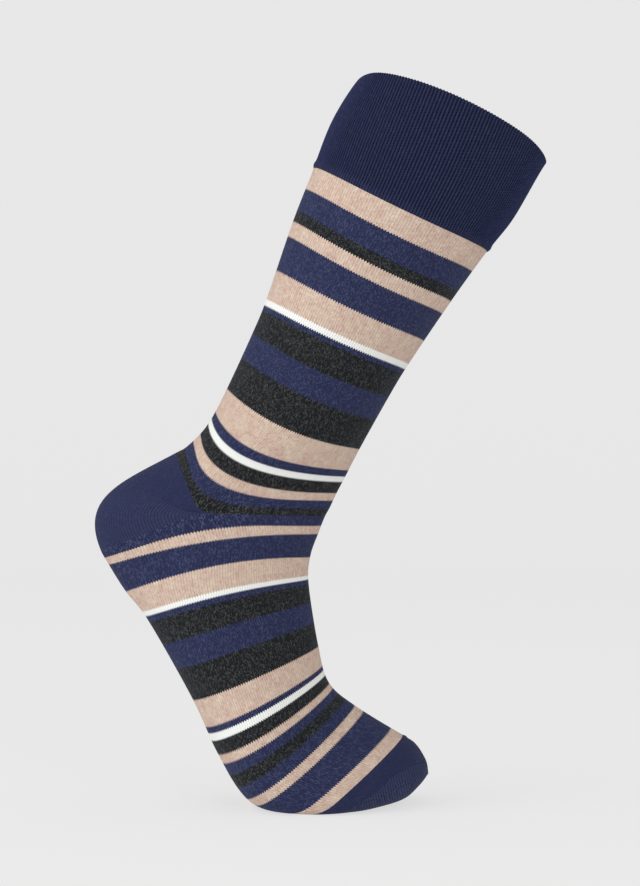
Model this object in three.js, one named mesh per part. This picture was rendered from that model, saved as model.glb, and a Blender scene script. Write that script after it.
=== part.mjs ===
// A knitted crew sock for a right foot, filled out as it is worn with the heel raised, in millimetres.
// It is a hollow tube of knitted cloth in five zones: cuff, leg, heel pocket, foot and toe pocket.
// X points to the toes, Y to the inner side of the foot and Z up. The origin is the centre of the mouth.
import * as THREE from "three";

// The whole sock stands on a floor while it is worked out. Its mouth's centre lies here above that floor.
const MOUTH_CENTRE = { x: 73, z: 392 };

// Thickness of the cloth in each zone. The cuff is a double welt and the two pockets are knitted denser.
const CLOTH = { cuff: 2.0, leg: 1.4, heel: 1.6, foot: 1.4, toe: 1.6 };

// Free space between two zones where one course of stitches ends and the next begins.
const SEAM_GAP = 0.3;

// The ribs of the cuff: how many there are, and how far a rib stands above the furrow beside it.
const RIBS = { count: 180, depth: 0.7 };

// The mouth's edge is rounded down at the front and back folds by this much.
const MOUTH_DROP = 4;
const MOUTH_DROP_SHARPNESS = 10;

// Faces round the tube. The heel pocket starts at the column where the gore tips lie.
const COLUMNS = 40;
const GORE_COLUMN = 9;
const CUFF_INNER_COLUMNS = 60;
const RINGS_PER_ROW = 2;
const HEEL_RINGS = 9;

// Height over which the rounded sole turns into the flat that rests on the floor.
const SOLE_ROUNDING = 7;

// How much boxier a course is where its widest place lies nearer to the sole.
const SQUARENESS = 0.35;

// How far apart two points lie from which a direction of the surface is worked out.
const STEP = 0.02;

// The heel's directions are taken a little inside its ends, because its curves stop there.
const HEEL_MARGIN = 0.03;

const GORE_ANGLE = (GORE_COLUMN / COLUMNS) * 2 * Math.PI;
// How gently a course turns at its side point: slow in most of the sock, and so tight at the gore tips
// that the corner of the course lies right at the tip.
const TIGHT = Math.cos(GORE_ANGLE) / 2;
const SLOW = 0.5;

// Each row is one course of stitches, seen from the side, from the mouth down to the toes.
// front, side and back are [x, z] points that the course runs through or bends towards.
// half is half of its width across the foot. bend says how gently it turns at its side point and is
// slow where no row gives it. skew moves its widest place towards the sole, and centre moves it
// towards the big toe; both are zero where no row gives them.
const LEG_ROWS = [
  { at: "mouth", front: [129, 370], side: [66.5, 404.5], back: [21.5, 415.5], half: 56 },
  { at: "mid cuff", front: [111.5, 336.5], side: [55.5, 368.5], back: [6.5, 388], half: 54 },
  { at: "cuff end", front: [95, 315], side: [41.5, 332.5], back: [-3.5, 362.5], half: 50 },
  { at: "upper calf", front: [74.5, 286.5], side: [26, 301], back: [-15.5, 332], half: 47 },
  { at: "calf", front: [50.5, 251], side: [8.5, 264], back: [-30.5, 288], half: 43 },
  { at: "lower calf", front: [39, 232], side: [-3.5, 242.5], back: [-38.5, 268.5], half: 41 },
  { at: "shin", front: [22.5, 202.5], side: [-24.5, 209], back: [-53, 237], half: 37 },
  { at: "ankle", front: [14.5, 187], side: [-54, 190.5], back: [-61.5, 220.5], half: 34 },
  { at: "low ankle", front: [9.5, 177.5], side: [-59.5, 180.5], back: [-68, 211.5], half: 33.5, bend: 0.42 },
  { at: "above gores", front: [5.5, 169], side: [-65.5, 171.5], back: [-76.5, 203.5], half: 33.5, bend: 0.26 },
  { at: "gores", front: [3, 164.5], side: [-67.5, 167], back: [-82, 200.5], half: 33.5, bend: TIGHT },
  { at: "heel", front: [0.5, 158], side: [-65.5, 162.5], back: [-102.5, 189.5], half: 34, bend: TIGHT },
];
const FOOT_ROWS = [
  { at: "heel", front: [5.5, 169], side: [-65.5, 170.5], back: [-127.5, 154], half: 33.5, bend: TIGHT },
  { at: "gores", front: [3, 164.5], side: [-67.5, 167], back: [-125, 145], half: 33.5, bend: TIGHT },
  { at: "below gores", front: [-1, 154.5], side: [-58, 156], back: [-120.5, 137], half: 34, bend: 0.42 },
  { at: "upper instep", front: [-5.5, 141.5], side: [-55.5, 145], back: [-111, 122], half: 35, skew: 0.1 },
  { at: "instep", front: [-6.5, 126], side: [-52.5, 121.5], back: [-97.5, 104.5], half: 37, skew: 0.15 },
  { at: "midfoot", front: [-1, 90.5], side: [-36.5, 75], back: [-72.5, 60.5], half: 41, skew: 0.2 },
  { at: "behind ball", front: [5, 69.5], side: [-23.5, 47], back: [-58.5, 30.5], half: 45, skew: 0.3 },
  { at: "ball", front: [19.5, 56.5], side: [-12.5, 24.5], back: [-42.5, 5.5], half: 48, skew: 0.42 },
  { at: "toe start", front: [47, 39.5], side: [22, 18.5], back: [-16.5, -14.5], half: 47, skew: 0.42 },
  { at: "roots", front: [53, 35.5], side: [33, 14], back: [11.5, -11], half: 44, skew: 0.35, centre: 4 },
  { at: "toes", front: [56.5, 31.5], side: [44, 11.5], back: [31, -4.5], half: 37, skew: 0.25, centre: 9 },
  { at: "pads", front: [59.5, 26.5], side: [53, 12], back: [46, 1], half: 27, skew: 0.15, centre: 13 },
  { at: "ends", front: [61.5, 22], side: [58.5, 13.5], back: [55.5, 8], half: 16, centre: 16 },
  { at: "tip", front: [62.5, 16.5], side: [62.5, 15.5], back: [62, 14.5], half: 1, centre: 17 },
];

// Where the zones begin and end in those rows. The last row of the leg and the first one of the foot
// only lead the curve on, and the toe's last ring lies half a row before the tip.
const CUFF_END = 2;
const LEG_END = LEG_ROWS.length - 2;
const FOOT_START = 1;
const TOE_START = FOOT_ROWS.findIndex((row) => row.at === "toe start");
const TOE_LAST_RING = FOOT_ROWS.length - 1.5;

// How far the heel's back bulges before it turns, as a share of the pocket's opening.
const HEEL_BULGE = { above: 0.5, below: 0.47 };

// A row's numbers in one list, so that neighbouring rows can be blended.
function numbersOf(row) {
  const { front, side, back, half, bend = SLOW, skew = 0, centre = 0 } = row;
  return [...front, ...side, ...back, half, bend, skew, centre];
}

// A smooth curve through the rows: whole numbers of place give the rows themselves.
function rowAt(rows, place) {
  const from = Math.min(Math.floor(place), rows.length - 2);
  const part = place - from;
  const [before, start, end, after] = [-1, 0, 1, 2].map((step) => {
    const index = Math.min(Math.max(from + step, 0), rows.length - 1);
    return numbersOf(rows[index]);
  });
  return start.map((value, i) => {
    const slopeIn = (end[i] - before[i]) / 2;
    const slopeOut = (after[i] - value) / 2;
    const square = part * part;
    const cube = square * part;
    return (
      value * (2 * cube - 3 * square + 1) +
      end[i] * (3 * square - 2 * cube) +
      slopeIn * (cube - 2 * square + part) +
      slopeOut * (cube - square)
    );
  });
}

// Zero below, the value itself above, and a smooth turn between them over the given reach.
function softRamp(value, reach) {
  if (value <= -reach) return 0;
  if (value >= reach) return value;
  return (value + reach) ** 2 / (4 * reach);
}

// A point of the sock: place counts the rows, and angle goes round from the front by the outer side.
function tubePoint(rows, place, angle) {
  const [frontX, frontZ, sideX, sideZ, backX, backZ, half, bend, skew, centre] = rowAt(rows, place);
  const way = (1 - Math.cos(angle)) / 2;
  const front = 2 * softRamp(0.5 - way, bend);
  const back = 2 * softRamp(way - 0.5, bend);
  const side = 1 - front - back;
  const across = Math.sin(angle - skew * Math.sin(angle));
  const y = centre - half * Math.sign(across) * Math.abs(across) ** (1 - SQUARENESS * skew);
  const z = front * frontZ + side * sideZ + back * backZ;
  return new THREE.Vector3(front * frontX + side * sideX + back * backX, y, softRamp(z, SOLE_ROUNDING));
}

// The surfaces of the leg and of the foot.
const legPoint = (place, angle) => tubePoint(LEG_ROWS, place, angle);
const footPoint = (place, angle) => tubePoint(FOOT_ROWS, place, angle);

// The direction in which the next courses are knitted, at one point.
function courseDirection(surface, place, angle) {
  return surface(place + STEP, angle)
    .sub(surface(place - STEP, angle))
    .normalize();
}

// The outward direction of the cloth at one point, and the direction in it that is square to the course.
function directions(surface, place, angle) {
  const down = courseDirection(surface, place, angle);
  const round = surface(place, angle + STEP).sub(surface(place, angle - STEP)).normalize();
  const outward = round.clone().cross(down).normalize();
  return { outward, along: outward.clone().cross(round) };
}

// A point of the surface, lifted off it and moved along it.
function offsetPoint(surface, place, angle, lift, shift, framePlace = place) {
  const { outward, along } = directions(surface, framePlace, angle);
  return surface(place, angle).addScaledVector(outward, lift).addScaledVector(along, shift);
}

// Collects the triangles of one closed wall.
class Wall {
  constructor() {
    this.positions = [];
    this.faces = [];
  }
  point(vector) {
    this.positions.push(vector.x, vector.y, vector.z);
    return this.positions.length / 3 - 1;
  }
  ring(vectors) {
    return vectors.map((vector) => this.point(vector));
  }
  triangle(a, b, c) {
    if (a !== b && b !== c && c !== a) this.faces.push(a, b, c);
  }
  distance(a, b) {
    const at = (index) => new THREE.Vector3().fromArray(this.positions, 3 * index);
    return at(a).distanceTo(at(b));
  }
  // Joins two lists of points of the same length, and closes them into a loop where asked.
  // Each four-sided patch is split along its shorter diagonal, so that slanted courses stay smooth.
  strip(upper, lower, closed) {
    const last = closed ? upper.length : upper.length - 1;
    for (let i = 0; i < last; i += 1) {
      const next = (i + 1) % upper.length;
      if (this.distance(upper[i], lower[next]) <= this.distance(upper[next], lower[i])) {
        this.triangle(upper[i], lower[next], lower[i]);
        this.triangle(upper[i], upper[next], lower[next]);
      } else {
        this.triangle(upper[i], upper[next], lower[i]);
        this.triangle(upper[next], lower[next], lower[i]);
      }
    }
  }
  // Joins a loop of many points to a loop of fewer points, each of which serves several of the first.
  rim(many, few) {
    const share = many.length / few.length;
    for (let i = 0; i < many.length; i += 1) {
      const next = (i + 1) % many.length;
      const near = few[Math.floor(i / share)];
      this.triangle(many[i], many[next], near);
      if ((i + 1) % share === 0) this.triangle(many[next], few[Math.floor(next / share)], near);
    }
  }
  reversedStrip(upper, lower, closed) {
    this.strip(lower, upper, closed);
  }
  mesh(name, material) {
    const geometry = new THREE.BufferGeometry();
    geometry.setAttribute("position", new THREE.Float32BufferAttribute(this.positions, 3));
    geometry.setIndex(this.faces);
    geometry.computeVertexNormals();
    const mesh = new THREE.Mesh(geometry, material);
    mesh.name = name;
    return mesh;
  }
}

// The places of the rings from one row to another.
function placesBetween(first, last, ringsPerRow) {
  const count = Math.round((last - first) * ringsPerRow);
  return Array.from({ length: count + 1 }, (_, i) => first + ((last - first) * i) / count);
}

// One ring of the cloth: its outer points are lifted by raise, and a rim is moved along the sock by shift.
function ringPoints(surface, place, columns, raise, shift) {
  return Array.from({ length: columns }, (_, i) => {
    const angle = (i / columns) * 2 * Math.PI;
    const lift = typeof raise === "function" ? raise(i) : raise;
    return offsetPoint(surface, place, angle, lift, shift);
  });
}

// Half of the seam's gap is left at each end of a zone, and nothing at the open mouth.
function seamShift(index, count, openMouth) {
  if (index === 0) return openMouth ? 0 : SEAM_GAP / 2;
  return index === count - 1 ? -SEAM_GAP / 2 : 0;
}

// A plain tube of cloth between two courses.
function tube(surface, first, last, thickness) {
  const wall = new Wall();
  const places = placesBetween(first, last, RINGS_PER_ROW);
  const skins = [0, -thickness].map((raise) =>
    places.map((place, j) =>
      wall.ring(ringPoints(surface, place, COLUMNS, raise, seamShift(j, places.length, false))),
    ),
  );
  const [outer, inner] = skins;
  for (let j = 1; j < places.length; j += 1) {
    wall.strip(outer[j - 1], outer[j], true);
    wall.reversedStrip(inner[j - 1], inner[j], true);
  }
  wall.reversedStrip(outer[0], inner[0], true);
  wall.strip(outer.at(-1), inner.at(-1), true);
  return wall;
}

// The mouth's edge falls away close to its front and back folds.
function cuffPoint(place, angle) {
  const point = legPoint(place, angle);
  const nearMouth = Math.max(0, 1 - place);
  point.z -= MOUTH_DROP * nearMouth ** 2 * Math.abs(Math.cos(angle)) ** MOUTH_DROP_SHARPNESS;
  return point;
}

// The cuff: ribs are raised in its outer points, and its inside is plain.
function cuff(first, last, thickness) {
  const wall = new Wall();
  const places = placesBetween(first, last, RINGS_PER_ROW);
  const ribbed = (i) => (i % 2 === 0 ? RIBS.depth / 2 : -RIBS.depth / 2);
  const skin = (columns, raise) =>
    places.map((place, j) =>
      wall.ring(ringPoints(cuffPoint, place, columns, raise, seamShift(j, places.length, true))),
    );
  const outer = skin(RIBS.count * 2, ribbed);
  const inner = skin(CUFF_INNER_COLUMNS, -thickness);
  for (let j = 1; j < places.length; j += 1) {
    wall.strip(outer[j - 1], outer[j], true);
    wall.reversedStrip(inner[j - 1], inner[j], true);
  }
  wall.rim(outer.at(-1), inner.at(-1));
  wall.rim([...outer[0]].reverse(), [...inner[0]].reverse());
  return wall;
}

// The heel pocket's surface: turn goes from the leg's last course to the foot's first one.
function heelPoint(turn, angle) {
  const top = legPoint(LEG_END, angle);
  const bottom = footPoint(FOOT_START, angle);
  const opening = top.distanceTo(bottom);
  const upper = top
    .clone()
    .addScaledVector(courseDirection(legPoint, LEG_END, angle), HEEL_BULGE.above * opening);
  const lower = bottom
    .clone()
    .addScaledVector(courseDirection(footPoint, FOOT_START, angle), -HEEL_BULGE.below * opening);
  return new THREE.CubicBezierCurve3(top, upper, lower, bottom).getPoint(turn);
}

// The heel pocket: a wedge of cloth that closes to a point at both gore tips.
function heel(thickness) {
  const wall = new Wall();
  const turns = placesBetween(0, 1, HEEL_RINGS);
  const columns = placesBetween(GORE_COLUMN, COLUMNS - GORE_COLUMN, 1);
  const skins = [0, -thickness].map((raise) => {
    const poles = [columns[0], columns.at(-1)].map((column) => {
      const angle = (column / COLUMNS) * 2 * Math.PI;
      return wall.point(offsetPoint(legPoint, LEG_END, angle, raise, 0));
    });
    return turns.map((turn, j) =>
      columns.map((column, i) => {
        if (i === 0) return poles[0];
        if (i === columns.length - 1) return poles[1];
        const angle = (column / COLUMNS) * 2 * Math.PI;
        const inside = Math.min(Math.max(turn, HEEL_MARGIN), 1 - HEEL_MARGIN);
        const shift = seamShift(j, turns.length, false);
        return wall.point(offsetPoint(heelPoint, turn, angle, raise, shift, inside));
      }),
    );
  });
  const [outer, inner] = skins;
  for (let j = 1; j < turns.length; j += 1) {
    wall.strip(outer[j - 1], outer[j], false);
    wall.reversedStrip(inner[j - 1], inner[j], false);
  }
  wall.reversedStrip(outer[0], inner[0], false);
  wall.strip(outer.at(-1), inner.at(-1), false);
  return wall;
}

// The toe pocket: a cap whose courses shrink to the tip of the big toe.
function toe(first, last, thickness) {
  const wall = new Wall();
  const places = placesBetween(first, last, RINGS_PER_ROW);
  const tipRow = FOOT_ROWS.at(-1);
  const skins = [0, -thickness].map((raise) => {
    const rings = places.map((place, j) =>
      wall.ring(ringPoints(footPoint, place, COLUMNS, raise, j === 0 ? SEAM_GAP / 2 : 0)),
    );
    const tip = new THREE.Vector3(tipRow.side[0] + raise, tipRow.centre, tipRow.side[1]);
    return { rings, tip: wall.point(tip) };
  });
  const [outer, inner] = skins;
  for (let j = 1; j < places.length; j += 1) {
    wall.strip(outer.rings[j - 1], outer.rings[j], true);
    wall.reversedStrip(inner.rings[j - 1], inner.rings[j], true);
  }
  wall.strip(outer.rings.at(-1), outer.rings.at(-1).map(() => outer.tip), true);
  wall.reversedStrip(inner.rings.at(-1), inner.rings.at(-1).map(() => inner.tip), true);
  wall.reversedStrip(outer.rings[0], inner.rings[0], true);
  return wall;
}

function yarn(color) {
  return new THREE.MeshStandardMaterial({ color, roughness: 0.95, metalness: 0 });
}

const NAVY = 0x32345f;
const SAND = 0xd6beaa;

const sock = new THREE.Group();
sock.position.set(-MOUTH_CENTRE.x, 0, -MOUTH_CENTRE.z);
sock.add(
  cuff(0, CUFF_END, CLOTH.cuff).mesh("cuff", yarn(NAVY)),
  tube(legPoint, CUFF_END, LEG_END, CLOTH.leg).mesh("leg", yarn(SAND)),
  heel(CLOTH.heel).mesh("heel", yarn(NAVY)),
  tube(footPoint, FOOT_START, TOE_START, CLOTH.foot).mesh("foot", yarn(SAND)),
  toe(TOE_START, TOE_LAST_RING, CLOTH.toe).mesh("toe", yarn(NAVY)),
);

export default sock;
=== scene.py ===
# %% [markdown]
# # A striped sock, knitted round and filled out
#
# This lesson dresses one knitted sock. The part is already packed as a frame: five hollow solids for the
# cuff, the leg, the heel pocket, the foot and the toe pocket. Here each of them gets a shell of real
# cloth with its stitches. We start with the frame, because every piece is placed by it, and we keep its
# box so that the finished cloth can be held against it.

import math

import bmesh
import bpy
import numpy as np
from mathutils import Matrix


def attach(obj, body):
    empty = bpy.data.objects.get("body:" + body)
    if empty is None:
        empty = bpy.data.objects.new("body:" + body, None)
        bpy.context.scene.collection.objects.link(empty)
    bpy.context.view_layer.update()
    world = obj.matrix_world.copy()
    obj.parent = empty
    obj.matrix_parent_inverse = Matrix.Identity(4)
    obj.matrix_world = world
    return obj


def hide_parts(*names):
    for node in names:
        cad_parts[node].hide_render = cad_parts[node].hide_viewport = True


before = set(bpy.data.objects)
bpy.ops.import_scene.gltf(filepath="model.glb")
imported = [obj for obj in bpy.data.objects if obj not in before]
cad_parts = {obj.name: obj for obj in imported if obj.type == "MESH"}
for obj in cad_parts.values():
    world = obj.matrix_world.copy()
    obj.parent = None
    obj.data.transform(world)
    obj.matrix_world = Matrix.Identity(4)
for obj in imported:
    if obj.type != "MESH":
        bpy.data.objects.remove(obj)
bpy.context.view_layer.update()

# %% [markdown]
# ## The camera
#
# The photographer stood 1.5 m away with a long lens, level with the middle of the sock, and looked
# straight at its outer side. A short lens would have made the cuff look wide and the heel small. The
# origin is the centre of the mouth, so the floor lies 392 mm below it and the camera stands a little
# behind it.

# %% Camera
MM = 0.001
FLOOR_Z = -392 * MM
EYE = (-73 * MM, -1500 * MM, FLOOR_Z + 206 * MM)
LENS_MM = 106.9
LEVEL = math.radians(90)

bpy.ops.object.select_all(action="DESELECT")
bpy.ops.object.camera_add(location=EYE, rotation=(LEVEL, 0, 0))
camera = bpy.context.object
camera.name = "photo_camera"
camera.data.lens = LENS_MM
bpy.context.scene.camera = camera
print("camera at", [round(v, 3) for v in camera.location])

# %% [markdown]
# ## Colours and nodes
#
# Blender mixes linear light, while colours are picked as sRGB hex values, so one function turns the one
# into the other. A second one adds a shader node with its settings and its links in one call, which
# keeps the materials short enough to read.

# %% Helpers for materials
def from_hex(text):
    """An sRGB hex colour as the linear values that Blender mixes."""
    parts = [int(text[i : i + 2], 16) / 255 for i in (1, 3, 5)]
    linear = [c / 12.92 if c <= 0.04045 else ((c + 0.055) / 1.055) ** 2.4 for c in parts]
    return (*linear, 1)


def node(tree, kind, inputs=None, **settings):
    """Adds a node with its settings, and sets or links its inputs. A node given as an input is linked
    by its first output."""
    made = tree.nodes.new(kind)
    for name, value in settings.items():
        setattr(made, name, value)
    for socket, value in (inputs or {}).items():
        if isinstance(value, bpy.types.Node):
            value = value.outputs[0]
        if isinstance(value, bpy.types.NodeSocket):
            tree.links.new(value, made.inputs[socket])
        else:
            made.inputs[socket].default_value = value
    return made


def empty_material(name):
    """A new material and its node tree, with nothing in it yet."""
    material = bpy.data.materials.new(name)
    material.use_nodes = True
    material.node_tree.nodes.clear()
    return material, material.node_tree


print("sand yarn is", [round(c, 2) for c in from_hex("#ccb39f")[:3]], "in linear light")

# %% [markdown]
# ## Paper cove
#
# Shop photos of socks are taken on pale paper that bends up all round, so no edge of the floor shows. We
# add a filled circle, extrude its edge up and round the corner with a bevel. The paper glows evenly, as
# if it were lit from behind, and reflects little, so it fills the shadows and keeps them faint.

# %% Cove
COVE_RADIUS = 4.0
COVE_HEIGHT = 3.5
COVE_ROUNDING = 1.5
COVE_SEGMENTS = 96
PAPER_GLOW = "#d2d2d2"
PAPER_REFLECTANCE = "#787878"

bpy.ops.object.select_all(action="DESELECT")
bpy.ops.mesh.primitive_circle_add(
    vertices=COVE_SEGMENTS, radius=COVE_RADIUS, fill_type="NGON", location=(0, 0, FLOOR_Z)
)
cove = bpy.context.object
cove.name = "paper_cove"
bpy.ops.object.transform_apply(location=True, rotation=True, scale=True)
bpy.ops.object.mode_set(mode="EDIT")
bpy.ops.mesh.select_mode(type="EDGE")
bpy.ops.mesh.select_all(action="SELECT")
bpy.ops.mesh.extrude_edges_move(TRANSFORM_OT_translate={"value": (0, 0, COVE_HEIGHT)})
bpy.ops.mesh.select_all(action="SELECT")
bpy.ops.mesh.normals_make_consistent(inside=True)
bpy.ops.object.mode_set(mode="OBJECT")
rounding = cove.modifiers.new("corner", "BEVEL")
rounding.width = COVE_ROUNDING
rounding.segments = 24
rounding.limit_method = "ANGLE"
rounding.angle_limit = math.radians(60)
bpy.ops.object.modifier_apply(modifier=rounding.name)
bpy.ops.object.shade_smooth()
paper, tree = empty_material("glowing_paper")
sheet = node(
    tree,
    "ShaderNodeBsdfPrincipled",
    {
        "Base Color": from_hex(PAPER_REFLECTANCE),
        "Roughness": 1.0,
        "Specular IOR Level": 0.0,
        "Emission Color": from_hex(PAPER_GLOW),
        "Emission Strength": 1.0,
    },
)
node(tree, "ShaderNodeOutputMaterial", {"Surface": sheet})
cove.data.materials.append(paper)
print("cove has", len(cove.data.polygons), "faces")

# %% [markdown]
# ## Lamps and room
#
# A large softbox stands at the left, so the back of the leg and the heel are a little brighter than the
# shin. A smaller one beside the camera, a little to the right, throws the faint shadow to the left behind
# the foot. The pale room gives the rest.

# %% Softboxes and room
# name, place in metres, width and height in metres, power in watts
LAMPS = [
    ("left_softbox", (-2.2, -1.1, 0.4), (2.2, 2.2), 40),
    ("front_softbox", (0.6, -2.1, 0.6), (0.8, 0.8), 11),
]
AIM = (-0.07, 0.0, -0.19)
ROOM_LIGHT = 0.66

for name, place, (width, height), watts in LAMPS:
    bpy.ops.object.light_add(type="AREA", location=place)
    lamp = bpy.context.object
    lamp.name = name
    lamp.data.shape = "RECTANGLE"
    lamp.data.size = width
    lamp.data.size_y = height
    lamp.data.energy = watts
    lamp.visible_camera = False
    direction = np.array(AIM) - np.array(place)
    turn = math.atan2(direction[0], -direction[1])
    tilt = math.atan2(math.hypot(direction[0], direction[1]), -direction[2])
    lamp.rotation_euler = (tilt, 0, turn + math.pi)
    print(name, "shines with", watts, "W")

room = bpy.data.worlds.new("pale_room")
room.use_nodes = True
room.node_tree.nodes["Background"].inputs["Color"].default_value = (1, 1, 1, 1)
room.node_tree.nodes["Background"].inputs["Strength"].default_value = ROOM_LIGHT
bpy.context.scene.world = room
bpy.context.scene.view_settings.view_transform = "Standard"

# %% [markdown]
# ## The form of the sock
#
# Every course of stitches runs once round the sock. Seen from the side, a course goes through a front
# point, a side point and a back point, and a few dozen courses that we measure give the whole form. The
# tables below are the ones that the solids were made from, in millimetres above the floor, with the toes
# towards +X. A smooth curve blends the neighbouring rows, so there are as many courses as we want.

# %% Rows of the leg and the foot
ORIGIN = np.array([73.0, 0.0, 392.0])
GORE_ANGLE = math.radians(81)
TIGHT = math.cos(GORE_ANGLE) / 2
SLOW = 0.5
SOLE_ROUNDING = 7
SQUARENESS = 0.35

# front x, z, side x, z, back x, z, half width, bend at the side, skew to the sole, shift of the middle
LEG_ROWS = np.array([
    (129, 370, 66.5, 404.5, 21.5, 415.5, 56, SLOW, 0, 0),
    (111.5, 336.5, 55.5, 368.5, 6.5, 388, 54, SLOW, 0, 0),
    (95, 315, 41.5, 332.5, -3.5, 362.5, 50, SLOW, 0, 0),
    (74.5, 286.5, 26, 301, -15.5, 332, 47, SLOW, 0, 0),
    (50.5, 251, 8.5, 264, -30.5, 288, 43, SLOW, 0, 0),
    (39, 232, -3.5, 242.5, -38.5, 268.5, 41, SLOW, 0, 0),
    (22.5, 202.5, -24.5, 209, -53, 237, 37, SLOW, 0, 0),
    (14.5, 187, -54, 190.5, -61.5, 220.5, 34, SLOW, 0, 0),
    (9.5, 177.5, -59.5, 180.5, -68, 211.5, 33.5, 0.42, 0, 0),
    (5.5, 169, -65.5, 171.5, -76.5, 203.5, 33.5, 0.26, 0, 0),
    (3, 164.5, -67.5, 167, -82, 200.5, 33.5, TIGHT, 0, 0),
    (0.5, 158, -65.5, 162.5, -102.5, 189.5, 34, TIGHT, 0, 0),
])
FOOT_ROWS = np.array([
    (5.5, 169, -65.5, 170.5, -127.5, 154, 33.5, TIGHT, 0, 0),
    (3, 164.5, -67.5, 167, -125, 145, 33.5, TIGHT, 0, 0),
    (-1, 154.5, -58, 156, -120.5, 137, 34, 0.42, 0, 0),
    (-5.5, 141.5, -55.5, 145, -111, 122, 35, SLOW, 0.1, 0),
    (-6.5, 126, -52.5, 121.5, -97.5, 104.5, 37, SLOW, 0.15, 0),
    (-1, 90.5, -36.5, 75, -72.5, 60.5, 41, SLOW, 0.2, 0),
    (5, 69.5, -23.5, 47, -58.5, 30.5, 45, SLOW, 0.3, 0),
    (19.5, 56.5, -12.5, 24.5, -42.5, 5.5, 48, SLOW, 0.42, 0),
    (47, 39.5, 22, 18.5, -16.5, -14.5, 47, SLOW, 0.42, 0),
    (53, 35.5, 33, 14, 11.5, -11, 44, SLOW, 0.35, 4),
    (56.5, 31.5, 44, 11.5, 31, -4.5, 37, SLOW, 0.25, 9),
    (59.5, 26.5, 53, 12, 46, 1, 27, SLOW, 0.15, 13),
    (61.5, 22, 58.5, 13.5, 55.5, 8, 16, SLOW, 0, 16),
    (62.5, 16.5, 62.5, 15.5, 62, 14.5, 1, SLOW, 0, 17),
])
CUFF_END = 2
LEG_END = 10
FOOT_START = 1
TOE_START = 8
TOE_TIP = FOOT_ROWS[-1][[2, 9, 3]]
print(len(LEG_ROWS), "rows for the leg and", len(FOOT_ROWS), "for the foot")

# %% A point of any course
STEP = 0.02


def row_at(rows, place):
    """The numbers of the course at a place between the rows, on a smooth curve through them."""
    start = min(int(place), len(rows) - 2)
    part = place - start
    before, here, after, beyond = (
        rows[min(max(start + step, 0), len(rows) - 1)] for step in (-1, 0, 1, 2)
    )
    return (
        here * (2 * part**3 - 3 * part**2 + 1)
        + after * (3 * part**2 - 2 * part**3)
        + (after - before) / 2 * (part**3 - 2 * part**2 + part)
        + (beyond - here) / 2 * (part**3 - part**2)
    )


def soft_ramp(value, reach):
    """Zero below, the value itself above, and a smooth turn between them."""
    turning = (value + reach) ** 2 / (4 * reach)
    return np.where(value <= -reach, 0, np.where(value >= reach, value, turning))


def tube_points(rows, place, angles):
    """Points of one course, in millimetres. The angles go round from the front by the outer side."""
    front_x, front_z, side_x, side_z, back_x, back_z, half, bend, skew, centre = row_at(rows, place)
    way = (1 - np.cos(angles)) / 2
    front = 2 * soft_ramp(0.5 - way, bend)
    back = 2 * soft_ramp(way - 0.5, bend)
    side = 1 - front - back
    across = np.sin(angles - skew * np.sin(angles))
    y = centre - half * np.sign(across) * np.abs(across) ** (1 - SQUARENESS * skew)
    x = front * front_x + side * side_x + back * back_x
    z = front * front_z + side * side_z + back * back_z
    return np.stack([x, y, soft_ramp(z, SOLE_ROUNDING)], axis=-1)


def leg_points(place, angles):
    return tube_points(LEG_ROWS, place, angles)


def foot_points(place, angles):
    return tube_points(FOOT_ROWS, place, angles)


def unit(vectors):
    return vectors / np.linalg.norm(vectors, axis=-1, keepdims=True)


def down_the_sock(surface, place, angles):
    """The direction in which the next courses are knitted."""
    return unit(surface(place + STEP, angles) - surface(place - STEP, angles))


def outward(surface, place, angles):
    """The direction that points away from the inside of the sock."""
    round_the_sock = surface(place, angles + STEP) - surface(place, angles - STEP)
    return unit(np.cross(round_the_sock, down_the_sock(surface, place, angles)))


print("side of the ankle at", leg_points(LEG_END, np.array([GORE_ANGLE])).round(1))

# %% [markdown]
# ## Creases
#
# The sock is filled out, so only a few soft creases are left, where the cloth has more length than the
# foot needs: beside the toes, over the instep, behind the ankle and under the arch. Each is a trough or a
# low ridge along a short line, seen from the side. They differ in length, width and depth as real ones
# do, and the inner side has its own.

# %% Creases
# side of the foot (-1 is the outer one), line from x, z to x, z, half width and height, all in mm
CREASES = [
    (-1, (33, 25), (15, 5), 3.2, -1.6),
    (-1, (40, 27), (30, 13), 4.5, 0.4),
    (-1, (-2, 146), (-26, 139), 3.0, -0.45),
    (-1, (-6, 134), (-22, 131), 2.4, -0.3),
    (-1, (-72, 196), (-60, 182), 3.2, -0.35),
    (-1, (-84, 96), (-66, 88), 5.0, -0.4),
    (1, (36, 24), (18, 9), 3.2, -0.9),
    (1, (2, 152), (-30, 143), 3.4, -0.6),
    (1, (-4, 138), (-24, 134), 2.6, 0.35),
    (1, (-70, 200), (-52, 184), 3.8, -0.5),
    (1, (-92, 104), (-68, 92), 5.5, -0.6),
    (1, (8, 62), (-14, 56), 4.0, -0.4),
]
CREASE_FADE_MM = 14


def crease_height(points):
    """How far the creases move each point outwards."""
    seen = points[..., [0, 2]]
    height = np.zeros(points.shape[:-1])
    for side, start, end, width, rise in CREASES:
        run = np.array(end) - np.array(start)
        along = np.clip((seen - start) @ run / (run @ run), 0, 1)
        away = np.linalg.norm(seen - start - along[..., None] * run, axis=-1)
        on_side = np.clip(side * points[..., 1] / CREASE_FADE_MM, 0, 1)
        height += rise * 4 * along * (1 - along) * np.exp(-((away / width) ** 2)) * on_side
    return height


print(len(CREASES), "creases, the deepest", -min(row[-1] for row in CREASES), "mm")

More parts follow.
